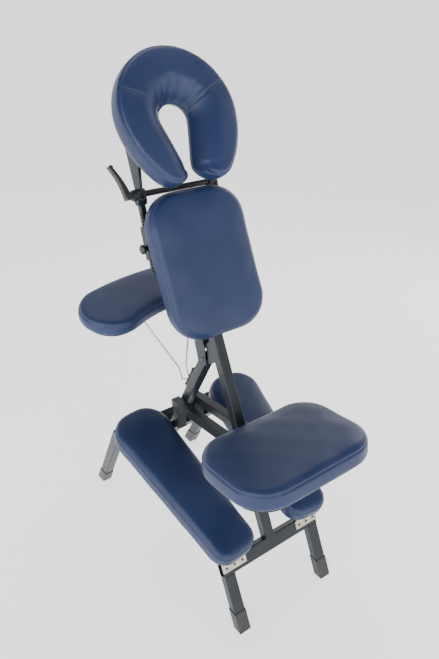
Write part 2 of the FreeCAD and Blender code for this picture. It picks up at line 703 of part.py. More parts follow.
def arm_rest():
    place = leaning(0, mm("arm_y"), mm("arm_z"), -mm("arm_slope"))
    for part, inset, low, thick in (("board", mm("board_inset"), 0, "arm_board"),
                                    ("pad", 0, mm("arm_board"), "arm_foam")):
        body = new_body("Arm" + part.title())
        plan = sketch_on(body, "XY_Plane", "Arm" + part + "Plan")
        arm_outline(plan, inset)
        slab = pad(body, plan, thick, name="Arm" + part + "Slab")
        if part == "pad":
            document.recompute()
            top = slab.Shape.BoundBox.ZMax
            shaped = round_edges(body, slab, "foam_round - 4", at_height(top), "ArmTop")
            round_edges(body, shaped, "foam_belly", at_height(0), "ArmBelly")
        finished(body, "arm_" + part, place.multiply(Placement(Vector(0, 0, low), Rotation())))
    arm_bracket()
    wire_brace()


def arm_point(across_y, up):
    """(y, z) of a point in the arm rest's own frame, from its underside's centre."""
    angle = math.radians(mm("arm_slope"))
    return (mm("arm_y") + across_y * math.cos(angle) - up * math.sin(angle),
            mm("arm_z") + across_y * math.sin(angle) + up * math.cos(angle))


def arm_bracket():
    """Channel under the arm board with a barrel at its rear end round the hinge pin."""
    pivot = Vector(0, mm("arm_pivot_y"), mm("arm_pivot_z"))
    channel = new_body("ArmChannel")
    outline = sketch_on(channel, "YZ_Plane", "ArmChannelOutline")
    rear_top = arm_point(-mm("arm_y") + mm("arm_pivot_y") + 6, 0)
    polygon(outline, [rear_top, arm_point(62, 0), arm_point(62, -6),
                      (mm("arm_pivot_y") + 12, mm("arm_pivot_z") - 3), (mm("arm_pivot_y") + 4.4, mm("arm_pivot_z"))])
    pad(channel, outline, 22, centred=True, name="ArmChannelPad")
    barrel = placed(disc("ArmBarrel", "8", "28.8", "bolt_radius + bolt_gap"),
                    across(-14.4, pivot.y, pivot.z))
    shape = union("ArmBracket", [channel, barrel])
    pin_room = placed(disc("ArmPinRoom", "bolt_radius + bolt_gap", 60), across(-30, pivot.y, pivot.z))
    finished(difference("ArmBracketBored", shape, pin_room), "arm_bracket")
    pin = placed(disc("ArmPin", "bolt_radius", 40), across(-20, pivot.y, pivot.z))
    finished(pin, "arm_hinge_pin")


def rod(name, points, radius):
    """Round rod through a list of points, its bends filled with balls."""
    shape = Part.makeSphere(radius, points[0])
    for start, end in zip(points, points[1:]):
        step = end - start
        shape = shape.fuse(Part.makeCylinder(radius, step.Length, start, step))
        shape = shape.fuse(Part.makeSphere(radius, end))
    feature = document.addObject("Part::Feature", name)
    feature.Shape = shape.removeSplitter()
    return feature


def wire_brace():
    """V-shaped steel wire from two clips under the arm board down to the rack."""
    radius, spread = mm("wire"), mm("wire_spread")
    top_y, top_z = arm_point(48, -7)
    hook_y, hook_z = on_front(mm("rack_top") + 44.3, mm("tube_side") / 2 + 8.2)
    bend_y, bend_z = hook_y + 30, hook_z - 17
    clear = 0.14
    kink_y, kink_z = bend_y + (top_y - bend_y) * clear, bend_z + (top_z - bend_z) * clear
    half = [Vector(spread + 15, top_y, top_z), Vector(spread, top_y, top_z), Vector(13, kink_y, kink_z),
            Vector(12, bend_y, bend_z), Vector(12, hook_y, hook_z)]
    mirrored = [Vector(-point.x, point.y, point.z) for point in reversed(half)]
    wire = rod("WireBrace", half + mirrored, radius)
    finished(wire, "wire_brace")

    clips = []
    for side, sign in SIDES:
        block = new_body("Clip" + side.title())
        outline = sketch_on(block, "YZ_Plane", "ClipOutline" + side.title())
        polygon(outline, [arm_point(38, 0), arm_point(58, 0), arm_point(55, -11.5), arm_point(41, -11.5)])
        pad(block, outline, 9, centred=True, name="ClipPad" + side.title())
        cross_hole(block, top_y, top_z, "wire + bolt_gap", "ClipHole" + side.title())
        clips.append(placed(block, Placement(Vector(sign * (spread + 8.5), 0, 0), Rotation())))
    group("brace_clips", clips)


# ---------------------------------------------------------------- face cradle and its posts

def on_cradle_post(up, out=0):
    return along((mm("axle_y"), mm("axle_z")), mm("cradle_lean"), up, out)


def cradle_posts():
    lean = mm("cradle_lean")
    bars, sockets = [], []
    for side, sign in SIDES:
        tag = side.title()
        bar = tube("HeightBar" + tag, "post_side", "post_side", "post_drop - 22", hollow=False)
        notches = sketch_on(bar, "YZ_Plane", "Notches" + tag)
        index = 0
        reach = mm("post_drop") - 40
        while index * mm("notch_pitch") < reach - 20:
            circle(notches, mm("notch_edge"), 12 + index * mm("notch_pitch"), "notch_radius",
                   "notch%d" % index)
            index += 1
        cut_through(bar, notches, "NotchRow" + tag)
        y, z = on_cradle_post(-mm("post_drop"))
        bar.Placement = leaning(sign * mm("axle_x"), y, z, lean)
        fork = new_body("PostFork" + tag)
        outline = sketch_on(fork, "YZ_Plane", "PostForkOutline" + tag)
        polygon(outline, [(-8, -26), (8, -26), (13, -14), (13, 9), (7, 14), (-7, 14), (-13, 9), (-13, -14)])
        pad(fork, outline, 24, centred=True, name="PostForkPad" + tag)
        slot = sketch_on(fork, "XZ_Plane", "PostSlot" + tag)
        polygon(slot, [(-4.3, -15), (4.3, -15), (4.3, 40), (-4.3, 40)])
        cut_through(fork, slot, "PostSlotCut" + tag)
        cross_hole(fork, 0, 0, "axle", "PostAxleHole" + tag)
        fork.Placement = leaning(sign * mm("axle_x"), mm("axle_y"), mm("axle_z"), lean)
        bars.append(union("HeightBarAll" + tag, [bar, fork]))
        sockets.append(socket(side, sign))
    group("height_bars", bars)
    group("post_sockets", sockets + [knob_collar()])

    start = across(-mm("axle_x") - 20.2, mm("axle_y"), mm("axle_z"))
    axle = placed(disc("Axle", "axle", "2 * axle_x + 34.2"), start)
    finished(axle, "cradle_axle")
    length = "2 * axle_x - 24.4"
    sleeve = placed(disc("AxleSleeve", "8", length, "axle + 0.02"),
                    across(-mm("axle_x") + 12.2, mm("axle_y"), mm("axle_z")))
    finished(sleeve, "axle_sleeve")


def socket(side, sign):
    """Square sleeve that a height bar slides in, at the end of the socket crossbar."""
    tag = side.title()
    body = new_body("Socket" + tag)
    section = sketch_on(body, "XY_Plane", "SocketSection" + tag)
    rectangle(section, "socket_side", "socket_side")
    sleeve = pad(body, section, "socket_long", name="SocketPad" + tag)
    round_edges(body, sleeve, "tube_round", runs_along_z, "SocketRound" + tag)
    bore = sketch_on(body, "XY_Plane", "SocketBore" + tag)
    rectangle(bore, "post_side + 0.6", "post_side + 0.6", "bore")
    cut_through(body, bore, "SocketHollow" + tag)
    if sign < 0:
        cross_hole_one_side(body, mm("plunger_up"))
    y, z = on_cradle_post(-mm("socket_drop"))
    return placed(body, leaning(sign * mm("axle_x"), y, z, mm("cradle_lean")))


def cross_hole_one_side(body, height):
    """Hole for the plunger in the socket's outer wall only."""
    drill = sketch_on(body, "YZ_Plane", "PlungerHoleSketch")
    circle(drill, mm("notch_edge"), height, "plunger + bolt_gap")
    document.recompute()
    before = body.Shape.Volume
    hole = body.newObject("PartDesign::Pocket", "PlungerHole")
    hole.Profile = drill
    hole.Type = 0
    hole.Length = 20
    document.recompute()
    if body.Shape.BoundBox.isValid() and body.Shape.Volume < before:
        wall = [edge for edge in body.Shape.Edges if abs(edge.Length - 2 * math.pi * (mm("plunger") + 0.06)) < 0.1]
        if wall and wall[0].CenterOfMass.x > 0:
            hole.Reversed = True
            document.recompute()
    assert body.Shape.Volume < before


def socket_crossbar():
    """Crossbar on the main post's front face that carries both post sockets."""
    reach = "2 * axle_x - socket_side"
    bar = tube("SocketCrossbar", "bar_deep", "bar_deep", reach)
    y, z = on_post(mm("socket_bar_at"), mm("tube_side") / 2 + mm("bar_deep") / 2)
    half = mm("axle_x") - mm("socket_side") / 2
    finished(bar, "socket_crossbar", across(-half, y, z, mm("post_lean")))


def plunger_point():
    """(y, z) of the plunger's line, in the middle of the row of notches."""
    return along(on_cradle_post(-mm("socket_drop")), mm("cradle_lean"), mm("plunger_up"), mm("notch_edge"))


def knob_collar():
    """Threaded collar welded to the left socket, which the plunger slides in."""
    y, z = plunger_point()
    start = -mm("axle_x") - mm("socket_side") / 2 - mm("collar_long")
    return placed(disc("KnobCollar", "7", "collar_long", "plunger + bolt_gap"), across(start, y, z))


def lock_knob():
    """Round pull knob on a plunger that passes the left socket's wall."""
    y, z = plunger_point()
    wall = mm("axle_x") + mm("socket_side") / 2
    head = new_body("KnobHead")
    half = sketch_on(head, "XZ_Plane", "KnobHalf")
    radius, thick = mm("knob_radius"), mm("knob_thick")
    polygon(half, [(0, -1), (8, -1), (9, 2), (radius - 2, 3), (radius, 5), (radius, thick - 3),
                   (radius - 3, thick), (0, thick)])
    turned = head.newObject("PartDesign::Revolution", "KnobTurned")
    turned.Profile = half
    turned.ReferenceAxis = (half, ["V_Axis"])
    turned.Angle = 360
    head.Placement = Placement(Vector(-wall - mm("knob_gap"), y, z), Rotation(Vector(0, 1, 0), -90))
    plunger = placed(disc("Plunger", "plunger", "knob_gap + 3.6"), across(-wall - mm("knob_gap"), y, z))
    finished(union("LockKnob", [head, plunger]), "lock_knob")


def horseshoe(sketch, inset):
    """Closed ring outline with a keyhole mouth open at the chin end."""
    wide, tall = mm("cradle_wide") / 2 - inset, mm("cradle_tall") / 2 - inset
    crown = tall - wide
    tip_y, gap = -tall, mm("mouth_half") + inset
    hole, hole_y = mm("hole_half") + inset, mm("hole_up")
    outer = [Vector(wide, crown, 0), Vector(wide * 0.86, -tall * 0.5, 0), Vector(wide * 0.5, tip_y + 5, 0)]
    tip = [outer[2], Vector(wide * 0.22 + inset * 0.5, tip_y + 11, 0), Vector(gap, tip_y + 44, 0)]
    throat = Vector(hole, hole_y, 0)

    def flip(point):
        return Vector(-point.x, point.y, 0)

    sketch.addGeometry(Part.Arc(flip(outer[0]), Vector(0, tall, 0), outer[0]))
    sketch.addGeometry(Part.Arc(*outer))
    sketch.addGeometry(Part.Arc(*tip))
    sketch.addGeometry(Part.LineSegment(tip[2], throat))
    sketch.addGeometry(Part.Arc(throat, Vector(0, hole_y + hole * 0.72, 0), flip(throat)))
    sketch.addGeometry(Part.LineSegment(flip(throat), flip(tip[2])))
    sketch.addGeometry(Part.Arc(flip(tip[2]), flip(tip[1]), flip(tip[0])))
    sketch.addGeometry(Part.Arc(flip(outer[2]), flip(outer[1]), flip(outer[0])))


def cradle():
    place = Placement(Vector(0, mm("cradle_y"), mm("cradle_z")), Rotation(X_AXIS, mm("cradle_pitch")))
    plate = new_body("CradlePlate")
    plan = sketch_on(plate, "XY_Plane", "CradlePlatePlan")
    horseshoe(plan, 24)
    pad(plate, plan, "cradle_plate", name="CradlePlatePad")
    finished(plate, "cradle_plate", place)

    cushion = new_body("CradlePad")
    plan = sketch_on(cushion, "XY_Plane", "CradlePadPlan")
    horseshoe(plan, 0)
    slab = pad(cushion, plan, "cradle_foam", name="CradlePadSlab")
    document.recompute()
    tips, mouth = mm("cradle_wide") / 4, (mm("mouth_half"), mm("hole_half"))
    shaped = round_edges(cushion, slab, "cradle_tip_round", upright_at(tips), "CradleTips")
    shaped = round_edges(cushion, shaped, "cradle_mouth_round", upright_at(*mouth), "CradleMouth")
    shaped = round_edges(cushion, shaped, "cradle_foam_round", at_height(mm("cradle_foam")), "CradleTop")
    round_edges(cushion, shaped, "cradle_belly", at_height(0), "CradleBelly")
    lift = Placement(Vector(0, 0, mm("cradle_plate")), Rotation())
    finished(cushion, "cradle_pad", place.multiply(lift))

    pitch = math.radians(mm("cradle_pitch"))

    def on_back(up, out):
        """(y, z) of a point on the cradle, up its back from the centre and out of its face."""
        return (mm("cradle_y") + up * math.cos(pitch) - out * math.sin(pitch),
                mm("cradle_z") + up * math.sin(pitch) + out * math.cos(pitch))

    arms = []
    for side, sign in SIDES:
        arm = new_body("CradleArm" + side.title())
        outline = sketch_on(arm, "YZ_Plane", "CradleArmOutline" + side.title())
        eye_y, eye_z = mm("axle_y"), mm("axle_z")
        polygon(outline, [(eye_y - 11, eye_z - 8), (eye_y + 4, eye_z - 12), (eye_y + 12, eye_z - 2),
                          (eye_y + 70, eye_z + 150), on_back(40, 0), on_back(-72, 0),
                          (eye_y - 12, eye_z + 6)])
        pad(arm, outline, 8, centred=True, name="CradleArmPlate" + side.title())
        cross_hole(arm, eye_y, eye_z, "axle + bolt_gap", "CradleArmEye" + side.title())
        arms.append(placed(arm, Placement(Vector(sign * mm("axle_x"), 0, 0), Rotation())))
    group("cradle_arms", arms)


def cam_lever():
    """Clamp lever on the axle's left end: a collar, a yoke with its cross pin and a curved blade."""
    x = -mm("axle_x") - 34
    y, z = mm("axle_y"), mm("axle_z")
    place = leaning(x, y, z, mm("lever_lean"))
    collar = placed(disc("ClampCollar", "14", 8, "axle + 0.02"), across(x + 13.6, y, z))
    finished(collar, "clamp_collar")

    blade = new_body("LeverBlade")
    outline = sketch_on(blade, "XZ_Plane", "LeverOutline")
    long, hub = mm("lever_long"), mm("lever_hub")
    tip_out, tip_in = Vector(-30, long, 0), Vector(-19, long - 2, 0)
    outline.addGeometry(Part.Arc(Vector(hub, 0, 0), Vector(0, -hub, 0), Vector(-hub, 0, 0)))
    outline.addGeometry(Part.Arc(Vector(-hub, 0, 0), Vector(-14, long * 0.45, 0), tip_out))
    outline.addGeometry(Part.Arc(tip_out, Vector(-24, long + 5, 0), tip_in))
    outline.addGeometry(Part.Arc(tip_in, Vector(-1, long * 0.48, 0), Vector(hub, 0, 0)))
    slab = pad(blade, outline, "lever_wide", centred=True, name="LeverBladePad")
    round_edges(blade, slab, "2.6", lambda edge: edge.Length > 60, "LeverRound")
    eye = sketch_on(blade, "XZ_Plane", "LeverEyeSketch")
    circle(eye, 0, 0, "3 + bolt_gap")
    cut_through(blade, eye, "LeverEye")
    finished(blade, "cam_lever", place)

    yoke = new_body("LeverYoke")
    cheek = sketch_on(yoke, "XZ_Plane", "YokeOutline")
    web = hub + 0.4
    polygon(cheek, [(-6, -8), (13.4, -8), (13.4, 8), (-6, 8)])
    pad(yoke, cheek, "lever_wide + 6", centred=True, name="YokePad")
    gap = sketch_on(yoke, "XY_Plane", "YokeGap")
    room = mm("lever_wide") / 2 + 0.3
    polygon(gap, [(-40, -room), (web, -room), (web, room), (-40, room)])
    cut_through(yoke, gap, "YokeGapCut")
    bore = sketch_on(yoke, "XZ_Plane", "YokeBore")
    circle(bore, 0, 0, "3")
    cut_through(yoke, bore, "YokeBoreCut")
    finished(yoke, "lever_yoke", place)

    pin = disc("LeverPin", "3", "lever_wide + 6")
    centred = Placement(Vector(0, (mm("lever_wide") + 6) / 2, 0), Rotation(X_AXIS, 90))
    finished(pin, "lever_pin", place.multiply(centred))


def check_and_write():
    """Stops on any failed feature or unsound shape, then writes one STEP file per sub-part."""
    document.recompute()
    for thing in document.Objects:
        if {"Invalid", "Error"} & set(thing.State):
            raise RuntimeError("%s did not build: %s" % (thing.Name, thing.State))
    os.makedirs("parts", exist_ok=True)
    whole = FreeCAD.BoundBox()
    for thing in PARTS:
        shape = thing.Shape
        if shape.isNull() or not shape.isValid() or not shape.Solids:
            raise RuntimeError("unsound shape: " + thing.Label)
        whole.add(shape.BoundBox)
        shape.exportStep("parts/%s.step" % thing.Label)
    print("%d parts, box %s" % (len(PARTS), whole))


rear_frame()
mast_and_gusset()
arm_clevis()
pivot_bolt("frame_pivot_bolt", mm("pivot_y"), mm("pivot_z"), mm("mast_wide") / 2)
pivot_bolt("seat_pivot_bolt", mm("seat_pivot_y"), mm("seat_pivot_z"), mm("fork_inner") + mm("fork_side"))
front_frame()
seat()
chest()
knee_pads()
arm_rest()
cradle_posts()
socket_crossbar()
lock_knob()
cradle()
cam_lever()
check_and_write()
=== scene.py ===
import math
from collections import namedtuple

import bpy
import numpy as np
from mathutils import Matrix, Vector
from mathutils.bvhtree import BVHTree
from mathutils.kdtree import KDTree


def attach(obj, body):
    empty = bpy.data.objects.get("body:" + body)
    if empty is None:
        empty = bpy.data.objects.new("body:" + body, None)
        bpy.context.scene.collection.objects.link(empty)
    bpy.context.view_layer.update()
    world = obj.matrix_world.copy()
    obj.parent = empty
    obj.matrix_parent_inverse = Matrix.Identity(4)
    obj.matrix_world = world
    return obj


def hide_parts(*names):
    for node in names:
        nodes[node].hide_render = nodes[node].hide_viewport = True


# Kneeling massage chair, metres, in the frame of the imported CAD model: X is the sitter's right,
# Y the way the sitter faces and Z up.  The steel stays as CAD; the upholstery is made here.

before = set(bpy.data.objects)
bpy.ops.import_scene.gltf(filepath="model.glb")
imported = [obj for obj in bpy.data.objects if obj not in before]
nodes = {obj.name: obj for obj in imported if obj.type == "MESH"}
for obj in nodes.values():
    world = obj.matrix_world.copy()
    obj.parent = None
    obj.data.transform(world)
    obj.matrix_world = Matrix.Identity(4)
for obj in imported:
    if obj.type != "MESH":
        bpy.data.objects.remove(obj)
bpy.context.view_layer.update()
scene = bpy.context.scene
dice = np.random.default_rng(7)
SIDES = (("left", -1), ("right", 1))
CENTRING = 0.0012784      # the whole chair's shift along Y that centres its box on the origin
SWELL = 0.0055            # how far pressure, and then the crown, may lift a cushion
MOUTH = (0.0105, -0.124)  # corner of the face cradle's mouth, on its plan
THROAT = (0.047, 0.012)   # where the face opening's round top starts, on its plan

# A seam's line, its depth and width, and how far beside it the thread runs (None: no thread).
Seam = namedtuple("Seam", "line depth width beside")


# --- camera and light -------------------------------------------------------------------------

def add_camera():
    data = bpy.data.cameras.new("Camera")
    data.lens, data.sensor_width = 33.0, 36.0
    data.shift_x, data.shift_y = -0.0017, 0.0028
    right = (0.806198, -0.591629, 0.004427)
    up = (0.285324, 0.395338, 0.873097)
    back = (-0.5183, -0.702626, 0.487527)
    camera = bpy.data.objects.new("Camera", data)
    scene.collection.objects.link(camera)
    turn = Matrix((right, up, back)).transposed().to_4x4()
    camera.matrix_world = Matrix.Translation((-0.8262, -1.1446, 1.5144)) @ turn
    scene.camera = camera


def soft_box(name, where, aim, wide, tall, watts, tint=(1, 1, 1)):
    data = bpy.data.lights.new(name, "AREA")
    data.shape, data.size, data.size_y = "RECTANGLE", wide, tall
    data.energy, data.color = watts, tint
    lamp = bpy.data.objects.new(name, data)
    scene.collection.objects.link(lamp)
    lamp.location = where
    lamp.rotation_euler = (Vector(aim) - Vector(where)).to_track_quat("-Z", "Y").to_euler()


def add_studio():
    soft_box("KeyBox", (-3.6, -1.2, 1.3), (0, 0, 0.6), 3.0, 2.4, 90, (0.93, 0.96, 1.0))
    soft_box("TopBox", (0.5, 0.9, 3.0), (0, 0, 0.6), 2.4, 1.6, 26)
    soft_box("FrontBox", (-0.3, -3.6, 1.2), (0, 0, 0.5), 2.6, 2.0, 50)
    soft_box("RimBox", (2.6, 0.6, 1.6), (0, 0, 0.7), 1.0, 1.8, 20)
    world = bpy.data.worlds.new("Studio")
    scene.world = world
    world.use_nodes = True
    tree = world.node_tree
    sky = tree.nodes["Background"]
    sky.inputs["Strength"].default_value = 1.45
    split = tree.nodes.new("ShaderNodeSeparateXYZ")
    where = tree.nodes.new("ShaderNodeTexCoord").outputs["Generated"]
    tree.links.new(where, split.inputs["Vector"])
    fade = ramp(tree, split.outputs["Z"], (1, 1, 1), (0.16, 0.17, 0.19), 0.22, 0.75)
    tree.links.new(fade, sky.inputs["Color"])
    mesh = bpy.data.meshes.new("Floor")
    half = 200.0
    corners = [(-half, -half, 0), (half, -half, 0), (half, half, 0), (-half, half, 0)]
    mesh.from_pydata(corners, [], [(0, 1, 2, 3)])
    floor = add_object("Floor", mesh)
    pale = finish("PaleFloor", (0.93, 0.93, 0.935), (0.95, 0.95, 0.95), 3.0, 0.6, 0.7, 40, 0.02)
    glow = pale.node_tree.nodes["Principled BSDF"].inputs
    glow["Emission Color"].default_value = (1, 1, 1, 1)
    glow["Emission Strength"].default_value = 1.15
    mesh.materials.append(pale)


# --- materials --------------------------------------------------------------------------------

def ramp(tree, source, low, high, start=0.35, end=0.65):
    """Colour that goes from low to high as the source goes from start to end."""
    node = tree.nodes.new("ShaderNodeValToRGB")
    for element, position, colour in zip(node.color_ramp.elements, (start, end), (low, high)):
        element.position, element.color = position, (*colour, 1)
    tree.links.new(source, node.inputs["Fac"])
    return node.outputs["Color"]


def finish(name, dark, light, patch, rough_low, rough_high, grain, bump, metal=0.0, gloss=0.5,
           pebble=False):
    """Material whose colour and roughness drift over patches, with a fine grain in relief."""
    material = bpy.data.materials.new(name)
    material.use_nodes = True
    tree = material.node_tree
    shader = tree.nodes["Principled BSDF"]
    shader.inputs["Metallic"].default_value = metal
    shader.inputs["Specular IOR Level"].default_value = gloss
    where = tree.nodes.new("ShaderNodeTexCoord").outputs["Object"]

    def noise(scale, detail):
        node = tree.nodes.new("ShaderNodeTexNoise")
        node.inputs["Scale"].default_value = scale
        node.inputs["Detail"].default_value = detail
        tree.links.new(where, node.inputs["Vector"])
        return node.outputs["Fac"]

    tree.links.new(ramp(tree, noise(patch, 4), dark, light), shader.inputs["Base Color"])
    rough = ramp(tree, noise(patch * 3, 3), (rough_low,) * 3, (rough_high,) * 3)
    tree.links.new(rough, shader.inputs["Roughness"])
    if pebble:
        cells = tree.nodes.new("ShaderNodeTexVoronoi")
        cells.feature = "DISTANCE_TO_EDGE"
        cells.inputs["Scale"].default_value = grain
        tree.links.new(where, cells.inputs["Vector"])
        relief = ramp(tree, cells.outputs["Distance"], (0, 0, 0), (1, 1, 1), 0.0, 0.35)
    else:
        relief = noise(grain, 3)
    height = tree.nodes.new("ShaderNodeBump")
    height.inputs["Strength"].default_value = bump
    height.inputs["Distance"].default_value = 0.0006
    tree.links.new(relief, height.inputs["Height"])
    tree.links.new(height.outputs["Normal"], shader.inputs["Normal"])
    return material


def add_finishes():
    return {
        "navy_leather": finish("NavyLeather", (0.0115, 0.0225, 0.070), (0.0145, 0.0275, 0.083),
                               9, 0.36, 0.44, 520, 0.22, gloss=0.34, pebble=True),
        "board_wrap": finish("BlackBacking", (0.010, 0.010, 0.012), (0.020, 0.020, 0.023),
                             30, 0.75, 0.9, 900, 0.5),
        "powder_coat": finish("PowderCoat", (0.007, 0.011, 0.015), (0.011, 0.016, 0.021),
                              22, 0.30, 0.42, 850, 0.14, gloss=0.36),
        "black_plastic": finish("BlackPlastic", (0.012, 0.012, 0.013), (0.022, 0.022, 0.024),
                                40, 0.36, 0.5, 700, 0.2),
        "black_rubber": finish("BlackRubber", (0.010, 0.010, 0.010), (0.020, 0.020, 0.020),
                               60, 0.6, 0.8, 600, 0.3),
        "nickel": finish("Nickel", (0.42, 0.385, 0.31), (0.56, 0.52, 0.43),
                         45, 0.24, 0.40, 900, 0.1, metal=1.0),
        "dark_screw": finish("DarkScrew", (0.05, 0.05, 0.055), (0.10, 0.10, 0.11),
                             90, 0.28, 0.45, 900, 0.1, metal=1.0),
        "steel_wire": finish("SteelWire", (0.30, 0.30, 0.30), (0.45, 0.45, 0.45),
                             60, 0.25, 0.4, 900, 0.1, metal=1.0),
        "thread": finish("NavyThread", (0.006, 0.011, 0.035), (0.010, 0.018, 0.055),
                         200, 0.5, 0.7, 1500, 0.4),
    }


# --- plans of the pads ------------------------------------------------------------------------

def arc_through(start, middle, end, count=24):
    """Points of the circular arc through three points, without its last one."""
    a, b, c = (complex(*p) for p in (start, middle, end))
    w = (c - a) / (b - a)
    centre = (b - a) * (w - abs(w) ** 2) / (2j * w.imag) + a
    sweep = np.angle((c - centre) / (a - centre))
    through = np.angle((b - centre) / (a - centre))
    if sweep * through < 0 or abs(through) > abs(sweep):
        sweep -= math.copysign(2 * math.pi, sweep)
    turns = np.exp(1j * np.linspace(0, sweep, count, endpoint=False))
    points = centre + (a - centre) * turns
    return np.column_stack([points.real, points.imag])


def rounded(corners, radii):
    """Closed outline with rounded corners, anticlockwise."""
    out = []
    for i, corner in enumerate(corners):
        here = np.array(corner)
        before = np.array(corners[i - 1]) - here
        after = np.array(corners[(i + 1) % len(corners)]) - here
        before, after = before / np.linalg.norm(before), after / np.linalg.norm(after)
        half = math.acos(np.clip(before @ after, -1, 1)) / 2
        reach = radii[i] / math.tan(half)
        bisector = (before + after) / np.linalg.norm(before + after)
        centre = here + bisector * radii[i] / math.sin(half)
        start, end = here + before * reach, here + after * reach
        out.append(arc_through(start, centre - bisector * radii[i], end))
        out.append([end])
    return resample(np.vstack(out))


def resample(loop, step=0.004):
    """The closed loop with evenly spaced points."""
    closed = np.vstack([loop, loop[:1]])
    gone = np.concatenate([[0], np.cumsum(np.linalg.norm(np.diff(closed, axis=0), axis=1))])
    marks = np.linspace(0, gone[-1], int(gone[-1] / step), endpoint=False)
    return np.column_stack([np.interp(marks, gone, closed[:, k]) for k in range(loop.shape[1])])


def smoothed(loop, passes):
    for _ in range(passes):
        loop = 0.5 * loop + 0.25 * (np.roll(loop, 1, 0) + np.roll(loop, -1, 0))
    return loop


def inset(loop, distance):
    """The anticlockwise loop moved inwards."""
    along = np.roll(loop, -2, 0) - np.roll(loop, 2, 0)
    along /= np.linalg.norm(along, axis=1)[:, None]
    normal = smoothed(np.column_stack([-along[:, 1], along[:, 0]]), 3)
    return smoothed(loop + normal * distance, 4)


def slab_plan(wide, long, corner):
    x, y = wide / 2, long / 2
    return rounded([(-x, -y), (x, -y), (x, y), (-x, y)], [corner] * 4)


def knee_plan():
    near, far, low, high = 0.135 / 2, 0.182 / 2, -0.014, 0.510
    corners = [(-near, low), (near, low), (far, high), (-far, high)]
    return rounded(corners, [0.046, 0.046, 0.076, 0.076])


def arm_plan():
    """Kidney of two round lobes joined by a hollow near edge and a bowed far edge."""
    radius, centre, lobe_y, far, near = 0.089, 0.200, -0.014, 0.105, -0.057

    def on_lobe(degrees, sign=1):
        angle = math.radians(degrees)
        return sign * (centre + radius * math.cos(angle)), lobe_y + radius * math.sin(angle)

    outline = np.vstack([
        arc_through(on_lobe(-118, -1), (0, near), on_lobe(-118), 60),
        arc_through(on_lobe(-118), on_lobe(-20), on_lobe(73), 60),
        arc_through(on_lobe(73), (0, far), on_lobe(73, -1), 60),
        arc_through(on_lobe(73, -1), on_lobe(-20, -1), on_lobe(-118, -1), 60)])
    return resample(smoothed(resample(outline), 12))


def cradle_plan():
    """Horseshoe, open at its lower end, round the face opening."""
    wide, tall = 0.164, 0.168
    outer = [(wide, tall - wide), (wide * 0.86, -tall * 0.5), (wide * 0.5, -tall + 0.005)]
    tip = arc_through(MOUTH, (wide * 0.22, -tall + 0.011), outer[2])
    right = np.vstack([tip, arc_through(outer[2], outer[1], outer[0])])
    top = arc_through(outer[0], (0, tall), (-wide, tall - wide), 60)
    left = (right * [-1, 1])[::-1]
    opening = arc_through((-THROAT[0], THROAT[1]), (0, THROAT[1] + 0.0338), THROAT, 30)
    outline = np.vstack([right, top, left, opening, [THROAT]])
    return resample(smoothed(resample(outline), 26))


# --- padded pieces ----------------------------------------------------------------------------

def add_object(name, mesh):
    thing = bpy.data.objects.new(name, mesh)
    scene.collection.objects.link(thing)
    return thing


def evaluated_mesh(thing):
    graph = bpy.context.evaluated_depsgraph_get()
    return bpy.data.meshes.new_from_object(thing.evaluated_get(graph))


def level_ring(plan, by, height):
    """The plan moved inwards, as points at one height."""
    return np.column_stack([inset(plan, by), np.full(len(plan), height)])


def foam_block(name, plan, thick, edge, belly=0.005):
    """Remeshed foam form on its local XY plane, with a rounded top edge and a tucked-in underside."""
    side = -0.0015  # inset of the side walls; they stand a little out, as smoothing draws them in
    rows = [(side + belly, 0), (side + belly * 0.3, belly * 0.7), (side, belly * 1.6),
            (side, thick * 0.6)]
    for step in range(6):
        angle = math.radians(18 * step)
        rows.append((side + edge * (1 - math.cos(angle)), thick - edge * (1 - math.sin(angle))))
    rings = [level_ring(plan, by, height) for by, height in rows]
    count = len(plan)
    points = np.vstack(rings)
    faces = []
    for level in range(len(rows) - 1):
        for i in range(count):
            j = (i + 1) % count
            low, high = level * count, (level + 1) * count
            faces.append((low + i, low + j, high + j, high + i))
    top = (len(rows) - 1) * count
    faces.append(tuple(reversed(range(count))))
    faces.append(tuple(range(top, top + count)))
    mesh = bpy.data.meshes.new(name)
    mesh.from_pydata(points.tolist(), [], faces)
    block = add_object(name, mesh)
    remesh = block.modifiers.new("Even", "REMESH")
    remesh.mode, remesh.voxel_size = "VOXEL", 0.0058
    ease = block.modifiers.new("Ease", "SMOOTH")
    ease.iterations = 2
    block.data = evaluated_mesh(block)
    block.modifiers.clear()
    return block


def vectors(items, field):
    flat = np.empty(len(items) * 3)
    items.foreach_get(field, flat)
    return flat.reshape(-1, 3)


def positions(mesh):
    return vectors(mesh.vertices, "co")


def set_positions(mesh, points):
    mesh.vertices.foreach_set("co", points.ravel())
    mesh.update()


def evened(mesh, field, passes):
    """The vertex field averaged over neighbours, so that the cover lies without ripples."""
    ends = np.empty(len(mesh.edges) * 2, np.int32)
    mesh.edges.foreach_get("vertices", ends)
    a, b = ends[::2], ends[1::2]
    size = len(field)
    degree = np.bincount(ends, minlength=size)[:, None]
    for _ in range(passes):
        total = np.column_stack([np.bincount(a, field[b, k], size) + np.bincount(b, field[a, k], size)
                                 for k in range(3)])
        field = 0.5 * field + 0.5 * total / degree
    return field


